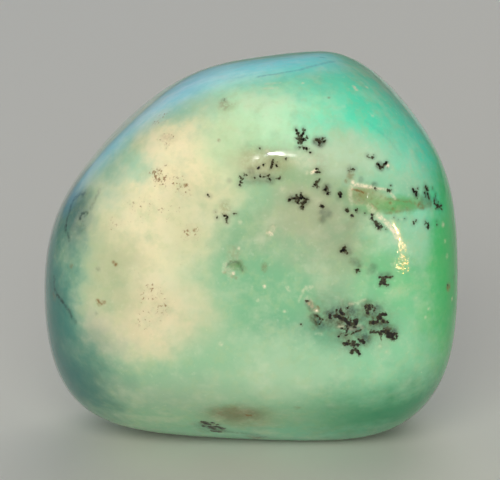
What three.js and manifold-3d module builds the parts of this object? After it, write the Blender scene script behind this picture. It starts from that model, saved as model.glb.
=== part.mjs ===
// A tumbled chrysoprase: one polished pebble of apple-green chalcedony, standing on a small flat spot
// worn under its lower edge, with its broad face to the front.
//
// A tumbled stone starts as a chip of rough with flattish broken sides. Rolling in grit wears its
// corners and edges round but leaves each side nearly flat. The solid is made the same way: a list
// of broken sides is blended into one smooth skin by a wear exponent. The flat spot underneath and the
// few hollows that the wear didn't reach are then cut out of it.
//
// Millimetres. +X is to the right and +Y to the back as the stone is seen from the front, and +Z is
// up. The origin is on the surface the stone stands on, below the middle of its box.
import * as THREE from "three";
import { mergeVertices } from "three/addons/utils/BufferGeometryUtils.js";
import Module from "manifold-3d";

// The point that every side is measured from.
const MIDDLE = new THREE.Vector3(-0.15, -0.3, 12.7);

// How sharp the edges between sides stay: a low number is a long tumbling, and a side that broke off
// late has had little of it.
const WEAR = 11;
const LATE_WEAR = 60;

// Each icosahedron edge is cut into this many, for facets about 0.7 mm across.
const SKIN_CUTS = 20;

// The broken sides. "around" is the way a side faces in the front view, in degrees from 0 at the right
// through 90 at the top, "lean" is how far it turns towards the viewer, in degrees, and "reach" is how
// far it lies from the middle.
const SIDES = [
  { name: "front", around: 90, lean: 84, reach: 9.0 },
  { name: "front top", around: 92, lean: 44, reach: 13.4 },
  { name: "front upper left", around: 136, lean: 44, reach: 12.4 },
  { name: "front left", around: 180, lean: 46, reach: 14.2 },
  { name: "front left foot", around: 226, lean: 44, reach: 14.4 },
  { name: "front foot", around: 268, lean: 44, reach: 11.6 },
  { name: "front right foot", around: 314, lean: 44, reach: 15.4 },
  { name: "front right", around: 5, lean: 46, reach: 14.0 },
  { name: "front upper right", around: 46, lean: 44, reach: 14.6 },
  { name: "back", around: 250, lean: -84, reach: 9.4 },
  { name: "back top", around: 95, lean: -44, reach: 12.8 },
  { name: "back left", around: 180, lean: -42, reach: 13.6 },
  { name: "back foot", around: 268, lean: -44, reach: 13.4 },
  { name: "back right", around: 5, lean: -42, reach: 13.3 },
  { name: "top", around: 92, lean: 4, reach: 14.1 },
  { name: "top left", around: 108, lean: 0, reach: 13.1 },
  { name: "upper left", around: 136, lean: -4, reach: 12.0 },
  { name: "left", around: 170, lean: 0, reach: 13.9 },
  { name: "lower left", around: 190, lean: 0, reach: 14.8 },
  { name: "left foot", around: 230, lean: 0, reach: 16.2 },
  { name: "underside", around: 267, lean: 0, reach: 13.0 },
  { name: "right foot", around: 303, lean: 0, reach: 16.5 },
  { name: "lower right", around: 333, lean: 0, reach: 16.5 },
  { name: "right", around: 2, lean: -6, reach: 13.75 },
  { name: "upper right", around: 46, lean: 0, reach: 14.5 },
];

// A facet that broke off late in the tumbling, so its edge is still a crisp line.
const LATE_SIDES = [
  { name: "top facet", around: 97, lean: -5, reach: 12.8 },
];

// Hollows of the front that the wear didn't reach, placed by the way from the middle, as the sides are.
// "tilt" is how far a hollow's long way leans in the front view, in degrees, and "sections" is how many
// facets go round it.
const HOLLOWS = [
  { name: "scoop", around: 73, lean: 47, long: 5.8, wide: 2.3, tilt: -4, depth: 0.4, sections: 24 },
  { name: "groove", around: 30, lean: 35.5, long: 6.2, wide: 1.4, tilt: -19, depth: 0.5, sections: 24 },
  { name: "round pit", around: 125, lean: 81, long: 1.0, wide: 0.9, tilt: 0, depth: 0.3, sections: 12 },
  { name: "small pit", around: 67, lean: 66, long: 0.8, wide: 0.6, tilt: 50, depth: 0.2, sections: 10 },
  { name: "dark pit", around: 334, lean: 61, long: 0.8, wide: 0.5, tilt: -40, depth: 0.2, sections: 10 },
];

// A unit vector for the way a side faces.
function facing({ around, lean }) {
  const a = THREE.MathUtils.degToRad(around);
  const l = THREE.MathUtils.degToRad(lean);
  return new THREE.Vector3(
    Math.cos(a) * Math.cos(l),
    -Math.sin(l),
    Math.sin(a) * Math.cos(l),
  );
}

function planesOf(sides) {
  return sides.map((side) => ({ normal: facing(side), reach: side.reach }));
}

const SIDE_PLANES = planesOf(SIDES);
const LATE_PLANES = planesOf(LATE_SIDES);

// Each side's plane is met at a distance of reach / cos. The sum of those distances' inverses, each
// raised to the wear exponent, follows the nearest plane and rounds it off where another comes close.
function wearSum(planes, wear, direction) {
  let sum = 0;
  for (const { normal, reach } of planes) {
    sum += (Math.max(0, normal.dot(direction)) / reach) ** wear;
  }
  return sum;
}

// How far the worn skin lies from the middle in one direction: the early sides first, rounded by the
// whole tumbling, and then the late ones, rounded by what was left of it.
function wornRadius(direction) {
  const early = wearSum(SIDE_PLANES, WEAR, direction) ** (LATE_WEAR / WEAR);
  const late = wearSum(LATE_PLANES, LATE_WEAR, direction);
  return (early + late) ** (-1 / LATE_WEAR);
}

// The skin as a closed mesh: an icosahedron's points, each moved out to the worn radius.
function wornSkin() {
  const skin = new THREE.IcosahedronGeometry(1, SKIN_CUTS);
  const points = skin.getAttribute("position");
  const point = new THREE.Vector3();
  for (let i = 0; i < points.count; i += 1) {
    point.fromBufferAttribute(points, i).normalize();
    point.multiplyScalar(wornRadius(point)).add(MIDDLE);
    points.setXYZ(i, point.x, point.y, point.z);
  }
  return skin;
}

// A cutter for one hollow: a stretched ball. Its middle stands as far outside the skin as the hollow is
// deep, and its tip is twice that far from its middle, so its oval at the skin is smaller than its waist.
const OVAL_AT_SKIN = Math.sqrt(3) / 2;

function hollowCutter({ around, lean, long, wide, tilt, depth, sections }) {
  const direction = facing({ around, lean });
  const place = direction.clone().multiplyScalar(wornRadius(direction)).add(MIDDLE);
  const cutter = new THREE.SphereGeometry(1, sections, sections / 2);
  cutter.scale(long / 2 / OVAL_AT_SKIN, 2 * depth, wide / 2 / OVAL_AT_SKIN);
  cutter.rotateY(THREE.MathUtils.degToRad(-tilt));
  return cutter.translate(place.x, place.y - depth, place.z);
}

// The flat spot is what a level surface leaves of the rounded underside, cut away with a wide slab.
const SLAB_SIDE = 60;
const SLAB_DEPTH = 10;

function slabBelowGround() {
  const slab = new THREE.BoxGeometry(SLAB_SIDE, SLAB_SIDE, SLAB_DEPTH);
  return slab.translate(0, 0, -SLAB_DEPTH / 2);
}

const wasm = await Module();
wasm.setup();

// A closed geometry as a solid that can be cut.
function solidOf(geometry) {
  const bare = geometry.clone();
  bare.deleteAttribute("normal");
  bare.deleteAttribute("uv");
  const merged = mergeVertices(bare);
  return new wasm.Manifold(
    new wasm.Mesh({
      numProp: 3,
      vertProperties: merged.getAttribute("position").array,
      triVerts: new Uint32Array(merged.index.array),
    }),
  );
}

// A cut solid back as a geometry.
function geometryOf(solid) {
  const { vertProperties, triVerts } = solid.getMesh();
  const geometry = new THREE.BufferGeometry();
  geometry.setAttribute("position", new THREE.BufferAttribute(vertProperties, 3));
  geometry.setIndex(new THREE.BufferAttribute(triVerts, 1));
  geometry.computeVertexNormals();
  return geometry;
}

// Polished chalcedony: mint green, glossy, not metal.
const polishedChrysoprase = new THREE.MeshStandardMaterial({
  color: 0xa9cfa4,
  roughness: 0.12,
  metalness: 0,
});

function tumbledStone() {
  let stone = solidOf(wornSkin()).subtract(solidOf(slabBelowGround()));
  for (const hollow of HOLLOWS) {
    stone = stone.subtract(solidOf(hollowCutter(hollow)));
  }
  const mesh = new THREE.Mesh(geometryOf(stone), polishedChrysoprase);
  mesh.name = "stone";
  return mesh;
}

const chrysoprase = new THREE.Group();
chrysoprase.add(tumbledStone());

export default chrysoprase;
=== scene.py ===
import math
import random

import bpy
import numpy as np
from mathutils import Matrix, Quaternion, Vector
from mathutils.bvhtree import BVHTree


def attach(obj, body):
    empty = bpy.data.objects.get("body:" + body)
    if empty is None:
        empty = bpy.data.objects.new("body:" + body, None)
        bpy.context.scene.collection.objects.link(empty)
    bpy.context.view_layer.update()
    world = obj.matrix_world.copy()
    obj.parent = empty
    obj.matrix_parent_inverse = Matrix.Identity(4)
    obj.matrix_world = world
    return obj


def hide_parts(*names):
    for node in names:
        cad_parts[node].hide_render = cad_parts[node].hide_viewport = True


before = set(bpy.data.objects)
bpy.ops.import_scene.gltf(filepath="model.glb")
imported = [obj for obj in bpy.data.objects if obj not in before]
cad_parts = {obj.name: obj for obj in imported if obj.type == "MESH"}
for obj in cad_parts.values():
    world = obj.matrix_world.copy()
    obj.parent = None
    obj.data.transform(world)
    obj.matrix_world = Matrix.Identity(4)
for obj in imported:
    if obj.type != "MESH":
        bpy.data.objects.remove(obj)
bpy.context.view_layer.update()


# The camera: a macro lens close up, a little above the stone, as the photograph was taken. It is set
# first because the marks of the stone are placed along its lines of sight.
MM = 0.001
PHOTO_WIDTH = 500
PHOTO_HEIGHT = 480
SENSOR_WIDTH = 36.0
CAMERA_DISTANCE = 190.0
CAMERA_ELEVATION = 14.0
PX_PER_MM = 14.9
AIM = np.array([-0.02, 0.0, 13.4])

elevation = math.radians(CAMERA_ELEVATION)
back_to_camera = np.array([0.0, -math.cos(elevation), math.sin(elevation)])
sight_right = np.array([1.0, 0.0, 0.0])
sight_up = np.cross(sight_right, -back_to_camera)
eye = AIM + back_to_camera * CAMERA_DISTANCE
focal_px = PX_PER_MM * CAMERA_DISTANCE

bpy.ops.object.camera_add(location=[c * MM for c in eye], rotation=(math.pi / 2 - elevation, 0, 0))
camera = bpy.context.object
camera.name = "macro_camera"
camera.data.sensor_width = SENSOR_WIDTH
camera.data.lens = focal_px * SENSOR_WIDTH / PHOTO_WIDTH
camera.data.clip_start = 0.01
camera.data.clip_end = 10.0
bpy.context.scene.camera = camera


# The stone's skin: a chip of chrysoprase rough, broken out with flattish sides and tumbled for weeks
# in ever finer grit, which rounds its corners and edges but leaves each side nearly flat. The sides
# are the CAD solid's own: the way each faces in the front view, how far it leans to the viewer, in
# degrees, and how far it lies from the middle.
MIDDLE = np.array([-0.15, -0.3, 12.7])
WEAR = 11
LATE_WEAR = 60
SIDES = [
    dict(name="front", around=90, lean=84, reach=9.0),
    dict(name="front top", around=92, lean=44, reach=13.4),
    dict(name="front upper left", around=136, lean=44, reach=12.4),
    dict(name="front left", around=180, lean=46, reach=14.2),
    dict(name="front left foot", around=226, lean=44, reach=14.4),
    dict(name="front foot", around=268, lean=44, reach=11.6),
    dict(name="front right foot", around=314, lean=44, reach=15.4),
    dict(name="front right", around=5, lean=46, reach=14.0),
    dict(name="front upper right", around=46, lean=44, reach=14.6),
    dict(name="back", around=250, lean=-84, reach=9.4),
    dict(name="back top", around=95, lean=-44, reach=12.8),
    dict(name="back left", around=180, lean=-42, reach=13.6),
    dict(name="back foot", around=268, lean=-44, reach=13.4),
    dict(name="back right", around=5, lean=-42, reach=13.3),
    dict(name="top", around=92, lean=4, reach=14.1),
    dict(name="top left", around=108, lean=0, reach=13.1),
    dict(name="upper left", around=136, lean=-4, reach=12.0),
    dict(name="left", around=170, lean=0, reach=13.9),
    dict(name="lower left", around=190, lean=0, reach=14.8),
    dict(name="left foot", around=230, lean=0, reach=16.2),
    dict(name="underside", around=267, lean=0, reach=13.0),
    dict(name="right foot", around=303, lean=0, reach=16.5),
    dict(name="lower right", around=333, lean=0, reach=16.5),
    dict(name="right", around=2, lean=-6, reach=13.75),
    dict(name="upper right", around=46, lean=0, reach=14.5),
]
LATE_SIDES = [dict(name="top facet", around=97, lean=-5, reach=12.8)]
SKIN_SUBDIVISIONS = 7


def facing(around, lean):
    """A unit vector for the way a side faces."""
    turn = math.radians(around)
    tip = math.radians(lean)
    return np.array([math.cos(turn) * math.cos(tip), -math.sin(tip), math.sin(turn) * math.cos(tip)])


def wear_sum(sides, wear, directions):
    """Follows the nearest side's plane, rounded off by the wear where another comes close."""
    total = np.zeros(len(directions))
    for side in sides:
        towards = np.maximum(0.0, directions @ facing(side["around"], side["lean"]))
        total += (towards / side["reach"]) ** wear
    return total


def on_worn_skin(points):
    """Moves points in mm along the line from the stone's middle onto its worn skin."""
    directions = points - MIDDLE
    directions /= np.linalg.norm(directions, axis=1)[:, None]
    early = wear_sum(SIDES, WEAR, directions) ** (LATE_WEAR / WEAR)
    late = wear_sum(LATE_SIDES, LATE_WEAR, directions)
    radius = (early + late) ** (-1 / LATE_WEAR)
    moved = MIDDLE + directions * radius[:, None]
    moved[:, 2] = np.maximum(moved[:, 2], 0.0)
    return moved


def points_of(mesh):
    """A mesh's points, in mm."""
    points = np.zeros(len(mesh.vertices) * 3)
    mesh.vertices.foreach_get("co", points)
    return points.reshape(-1, 3) / MM


def move_points(mesh, points):
    mesh.vertices.foreach_set("co", (points * MM).ravel())
    mesh.update()


def normals_of(mesh):
    normals = np.zeros(len(mesh.vertices) * 3)
    mesh.vertex_normals.foreach_get("vector", normals)
    return normals.reshape(-1, 3)


def corners_of(mesh):
    """The three points of each facet, by number."""
    corners = np.zeros(len(mesh.polygons) * 3, dtype=int)
    mesh.polygons.foreach_get("vertices", corners)
    return corners.reshape(-1, 3)


bpy.ops.object.select_all(action="DESELECT")
bpy.ops.mesh.primitive_ico_sphere_add(
    subdivisions=SKIN_SUBDIVISIONS, radius=MM, location=[c * MM for c in MIDDLE]
)
stone = bpy.context.object
stone.name = "polished_stone"
bpy.ops.object.transform_apply(location=True, rotation=False, scale=False)
move_points(stone.data, on_worn_skin(points_of(stone.data)))


# The chips and pits: hollows of the rough that lay deeper than the tumbling wore, so they keep a rim.
# Each has a depth, a slope of some width from rim to floor, a rim rounded that far, and an outline.
OVAL_CORNERS = 24


def oval(at, long, wide, tilt, uneven):
    """An outline in pixels: an oval of that many mm, whose edge wanders by the share uneven."""
    turn = math.radians(tilt)
    outline = []
    for k in range(OVAL_CORNERS):
        angle = 2 * math.pi * k / OVAL_CORNERS
        swell = 1 + uneven * (math.sin(2 * angle + at[0]) + 0.6 * math.sin(5 * angle + at[1]))
        along = long / 2 * PX_PER_MM * math.cos(angle) * swell
        aside = wide / 2 * PX_PER_MM * math.sin(angle) * swell
        right = along * math.cos(turn) - aside * math.sin(turn)
        up = along * math.sin(turn) + aside * math.cos(turn)
        outline.append((at[0] + right, at[1] - up))
    return outline


GROOVE_OUTLINE = [
    (351.4, 186), (354.6, 183.2), (362, 185), (368, 187.6), (370.6, 192), (369, 198.6), (364, 203),
    (353, 202.8), (350, 197), (349.2, 191),
]
HOLLOWS = [
    dict(name="groove", depth=0.05, slope=0.4, rim=0.06, outline=GROOVE_OUTLINE),
    dict(name="round pit", depth=0.19, slope=0.42, rim=0.05,
         outline=oval((234, 269), long=1.25, wide=1.1, tilt=20, uneven=0.04)),
    dict(name="teardrop pit", depth=0.10, slope=0.22, rim=0.06,
         outline=oval((271, 230), long=0.85, wide=0.5, tilt=55, uneven=0.06)),
    dict(name="dark pit", depth=0.16, slope=0.25, rim=0.06,
         outline=oval((317, 320), long=0.75, wide=0.6, tilt=-50, uneven=0.1)),
    dict(name="crack pit", depth=0.06, slope=0.14, rim=0.05,
         outline=oval((313, 306), long=1.0, wide=0.3, tilt=-48, uneven=0.1)),
    dict(name="back chip", turned=180, depth=0.3, slope=0.8, rim=0.14,
         outline=oval((322, 152), long=4.6, wide=2.0, tilt=24, uneven=0.07)),
    dict(name="back pit", turned=180, depth=0.22, slope=0.3, rim=0.06,
         outline=oval((205, 285), long=1.2, wide=0.9, tilt=-20, uneven=0.08)),
    dict(name="left chip", turned=-90, depth=0.18, slope=0.5, rim=0.1,
         outline=oval((268, 330), long=2.4, wide=1.1, tilt=62, uneven=0.07)),
]

# The skin counts as hidden where it faces the view with less than this cosine.
EDGE_ON = 0.05

# Outside a rim, what is left of its bend dies away over this many times the rim's width.
RIM_REACH = 4


def turned_about_z(vectors, turned):
    """Turns vectors about the upright line through the origin, by degrees."""
    cos = math.cos(math.radians(turned))
    sin = math.sin(math.radians(turned))
    return vectors @ np.array([[cos, -sin, 0], [sin, cos, 0], [0, 0, 1]]).T


def seen_at(points, turned=0):
    """Where points in mm show in the view, in pixels."""
    from_eye = turned_about_z(points, -turned) - eye
    depth = -(from_eye @ back_to_camera)
    across = PHOTO_WIDTH / 2 + focal_px * (from_eye @ sight_right) / depth
    down = PHOTO_HEIGHT / 2 - focal_px * (from_eye @ sight_up) / depth
    return np.column_stack([across, down])


def is_shown(points, normals, turned=0):
    """True for the points of the skin that face the view."""
    towards = turned_about_z(eye, turned) - points
    towards /= np.linalg.norm(towards, axis=1)[:, None]
    return (normals * towards).sum(1) > EDGE_ON


def from_line(spots, start, end):
    """How far spots lie from a straight line between two places."""
    way = end - start
    along = np.clip((spots - start) @ way / max(way @ way, 1e-9), 0, 1)
    return np.linalg.norm(spots - start - along[:, None] * way, axis=1)


def inside_outline(spots, outline):
    """How far spots lie inside an outline, in pixels: above 0 inside it, below 0 outside."""
    nearest = np.full(len(spots), np.inf)
    crossings = np.zeros(len(spots), dtype=int)
    for start, end in zip(outline, outline[1:] + outline[:1]):
        start = np.array(start, dtype=float)
        end = np.array(end, dtype=float)
        nearest = np.minimum(nearest, from_line(spots, start, end))
        spans = (start[1] > spots[:, 1]) != (end[1] > spots[:, 1])
        drop = end[1] - start[1]
        if drop:
            meets = start[0] + (spots[:, 1] - start[1]) / drop * (end[0] - start[0])
            crossings += spans & (spots[:, 0] < meets)
    return np.where(crossings % 2 == 1, nearest, -nearest)


def softened(inside, rim):
    """A distance that starts from 0 in a bend as wide as the rim, not at a corner."""
    return (inside + np.sqrt(inside**2 + rim**2)) / 2


def hollow_depth(points, normals, hollow):
    """How deep one hollow is pressed at each point: a slope from its rim, and a soft floor."""
    turned = hollow.get("turned", 0)
    inside = inside_outline(seen_at(points, turned), hollow["outline"]) / PX_PER_MM
    share = np.clip(softened(inside, hollow["rim"]) / hollow["slope"], 0, 1)
    share *= np.clip(1 + inside / (RIM_REACH * hollow["rim"]), 0, 1)
    return hollow["depth"] * (1 - (1 - share) ** 2) * is_shown(points, normals, turned)


# Two creases that the tumbling rounded: the ridge that runs down the stone from the groove, crisp at
# first and then fading out, and the crest over the shallow scoop. Each path runs from the crease's
# soft end to its crisp one. The skin on the left of it turns down by "bend" degrees and comes back
# over "fade" mm, "rims" says how far the crease is rounded at its start and end, and "tapers" over
# what share of the path, from either end, the bend grows.
RIDGES = [
    dict(
        name="ridge",
        path=[
            (408.8, 266), (406.4, 259.6), (403.6, 253.2), (400.6, 246), (397.4, 238.6), (393.6, 232.6),
            (389, 227), (384, 221.6), (379, 216.4), (374, 212), (367, 203),
        ],
        bend=14, fade=2.2, rims=(0.55, 0.03), tapers=(0.9, 0.12),
    ),
    dict(
        name="scoop's crest",
        path=[
            (324, 167), (314, 163.5), (300, 161), (288, 158.8), (279, 157), (270, 155.2), (262, 153.8),
            (250, 151),
        ],
        bend=4.5, fade=1.5, rims=(0.3, 0.08), tapers=(0.3, 0.5),
    ),
]


def ridge_depth(points, normals, ridge):
    """How far the skin on the left of a crease is worn down at each point."""
    spots = seen_at(points)
    nearest = np.full(len(points), np.inf)
    side = np.zeros(len(points))
    share = np.zeros(len(points))
    legs = list(zip(ridge["path"], ridge["path"][1:]))
    for k, (start, end) in enumerate(legs):
        start = np.array(start, dtype=float)
        way = np.array(end, dtype=float) - start
        offset = spots - start
        away = from_line(spots, start, start + way)
        along = np.clip(offset @ way / (way @ way), 0, 1)
        closer = away < nearest
        nearest = np.where(closer, away, nearest)
        side = np.where(closer, np.sign(way[1] * offset[:, 0] - way[0] * offset[:, 1]), side)
        share = np.where(closer, (k + along) / len(legs), share)
    beyond = nearest * side / PX_PER_MM
    rim = ridge["rims"][0] + (ridge["rims"][1] - ridge["rims"][0]) * share**1.5
    bend = math.radians(ridge["bend"])
    for run, taper in zip((share, 1 - share), ridge["tapers"]):
        grown = np.clip(run / taper, 0, 1)
        bend = bend * grown**2 * (3 - 2 * grown)
    lowered = bend * softened(beyond, rim) * np.exp(-((beyond / ridge["fade"]) ** 2))
    return lowered * np.clip(1 + beyond / (RIM_REACH * rim), 0, 1) * is_shown(points, normals)


# The dendrites: manganese oxide that seeped along hair cracks and grew there as little black trees
# with round lobes. A stroke is its width and then the places it runs through, all in pixels, and a
# stroke with one place is a dot. A tree that is "sunk" a little, in mm, shows thinner and browner.
DENDRITES = [
    dict(name="upper tree", strokes=[
        (2.8, (296, 128.8), (297.2, 131.2)), (3.0, (298.2, 133.2), (299.2, 136)),
        (2.8, (303.4, 129), (303.6, 132.4)), (3.4, (302.4, 134.6), (300.6, 138)),
        (4.2, (297.8, 139.2), (301.4, 140.6), (304, 139.6)), (2.6, (304.4, 139), (306.6, 137.2)),
        (2.4, (298.6, 142.4), (301.8, 142.8)), (2.4, (297.4, 147), (300, 147.2)),
        (2.6, (302.6, 147.2), (305.4, 148.2), (307.6, 149.8)), (2.2, (311, 152.6)),
    ]),
    dict(name="upper right tree", strokes=[
        (2.4, (320.4, 141.4), (325.2, 140.6)), (2.2, (321.4, 140.2), (323.8, 138)),
        (3.2, (317, 138.8), (319.6, 140.8)), (3.0, (318.6, 142.4), (319.4, 144.8)),
    ]),
    dict(name="scoop tree", strokes=[
        (2.2, (272.8, 160.4), (272.6, 163.4)), (2.6, (272.2, 164), (271, 168.2)),
        (2.3, (272, 164.4), (276.8, 163.6)), (2.0, (276, 165), (277.8, 166.6)),
        (2.6, (257.2, 168.2), (259.2, 167.6)), (1.9, (263.6, 164.4)), (1.6, (259.9, 148.4)),
        (1.8, (267.8, 153.8)), (2.5, (285.8, 158.9)),
    ]),
    dict(name="scoop chain", sunk=0.01, strokes=[
        (3.0, (245.4, 174.4)), (2.6, (240.9, 177.2), (242, 179.6)), (3.7, (240.7, 182.8), (240.3, 184.8)),
        (2.2, (265.2, 176.6), (269.4, 175)), (2.2, (268.2, 177.4), (270.6, 180.4)), (1.9, (254.8, 178.2)),
        (1.8, (260.2, 175.6), (261.4, 177.6)), (2.3, (276.5, 178.8)), (2.9, (280, 178.6)),
    ]),
    dict(name="middle chain", strokes=[
        (3.0, (316.6, 172.6), (319.4, 171.8)), (1.7, (316.4, 169.2), (317.8, 168.4)),
        (3.2, (318.6, 180.4), (316.6, 183), (315, 185.4)), (1.8, (313.8, 186.2)),
        (1.9, (317.2, 187.2), (318.4, 187.6)), (3.4, (326.6, 187.4), (325.6, 190)),
        (3.2, (328.2, 192), (328.4, 193.8)), (4.9, (340.1, 195.2)), (2.8, (340.4, 192.4)),
        (2.2, (338.8, 198)), (4.6, (322.1, 206.6)), (2.4, (321, 204.6)),
    ]),
    dict(name="middle tree", strokes=[
        (3.2, (289.2, 199.6), (293, 198.6), (297.4, 198.8)), (3.9, (297, 199), (302.8, 197.6)),
        (2.5, (300.8, 193.8), (301.2, 197)), (2.2, (296.2, 195.8), (297.6, 197.6)),
        (3.2, (298, 200.6), (297.8, 202.4)), (3.3, (303.2, 203.2), (306.8, 199.6)),
        (2.6, (301.8, 206), (302.6, 208)), (2.2, (300.6, 202.4), (303, 204.8)),
    ]),
    dict(name="below the groove", sunk=0.01, strokes=[
        (3.5, (346.2, 209.8), (348.6, 211)), (3.7, (352.4, 215.6)), (3.0, (355.8, 210.2), (358, 211.2)),
        (1.7, (365.4, 213.2)), (3.8, (372.7, 215.4), (372.1, 217.6)), (2.9, (374.4, 221), (375.6, 222.2)),
        (4.2, (376.6, 223.6), (377.6, 226)), (3.5, (381, 225.4), (381.8, 227.4)),
        (2.6, (378.8, 228.4), (379.8, 229.2)), (2.0, (386.6, 229.6)),
    ]),
    dict(name="above the groove", sunk=0.01, strokes=[
        (2.4, (350, 167.2), (350.4, 169.4)), (2.8, (348.6, 170), (352.2, 169.4), (354.4, 169)),
        (2.2, (349.6, 171.2)), (2.2, (367.2, 155.4), (369.2, 157.4)), (3.0, (373.8, 156.8), (372.8, 157.8)),
        (3.2, (378, 163.8), (379.8, 166.8), (382.6, 166.6)),
        (3.2, (382.8, 166.2), (384.4, 164), (386.8, 162.6)), (2.6, (380, 168.4)), (1.6, (387.4, 167.8)),
        (2.9, (375.6, 188.2)), (2.9, (388.2, 190.6), (390.2, 190.6)), (1.7, (390.6, 185.4)),
    ]),
    dict(name="right of the groove", sunk=0.02, strokes=[
        (3.3, (412.6, 189.2), (413.8, 191.4), (416.8, 191.4)), (2.0, (417.8, 187.8), (417.2, 190)),
        (4.4, (415.8, 193.6), (416.4, 196)), (4.2, (426.4, 187.8), (427, 190.4)),
        (2.8, (424.2, 192.4), (425.2, 195.6)), (2.8, (427.4, 193.4), (428.6, 198)), (2.9, (432.6, 188.8)),
        (2.1, (435.6, 193.8), (435.4, 196.4)), (3.0, (434.5, 198.8), (434.6, 202.8)),
        (3.1, (434.6, 204.2), (438.4, 206), (441.4, 205.6)), (2.2, (438, 202.6), (438.8, 205)),
        (2.7, (436, 208.4), (437.4, 207)), (2.3, (440, 207.2), (442.2, 209.8)),
        (2.1, (413.4, 224.4), (414, 221.8), (416.4, 221.2)), (4.1, (425.6, 222.8)),
        (3.8, (427.6, 224.6), (428, 227.4)), (3.1, (437.4, 225)), (1.3, (436.8, 221.4)),
        (1.9, (394.4, 217.6)), (1.2, (398, 220)), (1.4, (405, 219)),
    ]),
    dict(name="left of the middle", sunk=0.01, strokes=[
        (2.5, (223.2, 215.6), (227.6, 216.9)), (3.1, (226.6, 218.4), (226.8, 221.6)), (1.7, (224.9, 219.6)),
        (2.3, (217, 217.6)), (1.5, (215.6, 211.8)), (1.6, (233.8, 213.8), (236.2, 213.6)),
        (1.7, (207.8, 195.3), (210.2, 196.4)), (1.6, (229.4, 180.5)), (1.9, (223.8, 99.8)),
    ]),
    dict(name="right of the pit", strokes=[
        (5.0, (343.6, 249.8)), (3.0, (343, 250.6), (340.6, 251.8)), (3.1, (344.6, 250.6), (347.4, 253.2)),
        (2.9, (344.6, 248.6), (346.2, 246.8)), (4.3, (357.2, 270.6)),
        (2.8, (380, 277), (386, 277.4), (391.4, 277)), (6.2, (382.5, 282.4)),
        (2.8, (385.4, 279.2), (386, 281)), (3.3, (386.2, 285), (387.8, 285.2)), (3.2, (380.2, 284.6)),
    ]),
    dict(name="main cluster, top", strokes=[
        (3.4, (330.8, 314.6), (329.9, 317.6)), (2.9, (336.1, 310.2), (336.7, 313)),
        (5.0, (341.2, 311.4), (342.6, 314)), (5.6, (336.4, 316.4), (339.6, 316.8)),
        (4.6, (341.6, 317.6), (344.4, 320), (347, 322)), (4.9, (347.8, 323), (351.6, 324.2)),
        (2.9, (347, 308.2)), (5.8, (355.8, 320.6), (356, 322.2)), (4.0, (350, 324), (354.4, 323.4)),
        (2.2, (351.6, 326.3), (356.4, 327.7)), (2.8, (340.6, 328.8), (347, 328.6)),
        (2.8, (346.6, 325.6), (346.7, 332)), (1.9, (346.7, 332), (346.5, 335.4)),
        (2.2, (350.8, 334), (353.5, 332.5), (356.2, 331.4), (360.2, 330.6)), (3.3, (339.1, 336.6)),
        (1.5, (342.8, 330.8), (343, 333.2)), (2.8, (306.8, 301)), (1.9, (301.3, 324.5)),
        (3.0, (348.4, 318.4), (351.4, 320.4)),
    ]),
    dict(name="main cluster, foot", strokes=[
        (3.6, (344, 344.1), (348, 343.2)), (3.1, (348.9, 341.2), (349.3, 343.4)),
        (4.5, (353.5, 342.2), (353.6, 344.6)), (2.5, (354, 344.7), (358.2, 344.9)), (2.3, (353.3, 346.6)),
        (2.7, (354.9, 349.7)), (3.9, (353.4, 350.6), (351.6, 352.6)),
        (3.7, (355.7, 350), (358, 352.6), (359.6, 353.9)), (3.5, (359.5, 339.9), (361, 341)),
        (4.3, (362.7, 341.5), (363.6, 342.7)),
    ]),
    dict(name="right cluster", strokes=[
        (5.2, (368.7, 306.6), (369, 308)), (3.4, (366, 305.8), (366.2, 308.2)),
        (3.3, (367.6, 310.6), (367.8, 314)), (2.0, (371.6, 304.8), (374.4, 308.6), (374, 312.6)),
        (3.8, (370.8, 322.4), (374, 323), (377.4, 321.6)), (4.7, (378, 318.6), (380.3, 315.8), (383, 314)),
        (3.1, (382.6, 312.8), (386.2, 314.4)), (4.3, (380.8, 318.4)), (3.0, (381.4, 320.4), (384, 321.3)),
        (2.6, (386.2, 322), (387.7, 322.3)), (3.7, (370.9, 332), (373, 332.4)),
        (2.6, (373.4, 332.2), (378.4, 331.4)), (3.4, (380.6, 333), (381.1, 338.2)),
        (3.6, (381.2, 331.4), (385.6, 331)), (2.8, (384.6, 329.3)),
        (5.6, (386, 331.8), (389.2, 334), (392, 335.6)), (3.8, (392.6, 333.8), (396, 334.3)),
        (2.9, (395.8, 336.5), (397.2, 336.8)), (4.2, (388.8, 336.8), (393.4, 338.4)), (2.6, (391.4, 331.9)),
        (2.9, (394.5, 339.1)),
    ]),
    dict(name="dark pit", strokes=[
        (2.2, (316.5, 315.6), (318.8, 317.6)), (2.0, (320, 319.2), (322.2, 319.9)),
        (1.5, (320.6, 321.8), (320.2, 323.8)),
    ]),
    dict(name="foot", strokes=[
        (4.6, (202.8, 421.8)), (5.8, (205, 422.8), (208.4, 424.4)), (3.8, (203.2, 426.2)),
        (4.0, (212.3, 422.8)), (5.6, (210.2, 427), (213.8, 428.8)), (4.4, (214.8, 426.8), (217.2, 426.5)),
        (3.4, (217.4, 424.7)), (4.8, (219.7, 427.6), (222.8, 428.6)), (4.8, (212.4, 430.8), (219.6, 431.8)),
    ]),
    dict(name="right rim", strokes=[(2.9, (447.5, 285.9)), (1.8, (454, 277))]),
]

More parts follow.
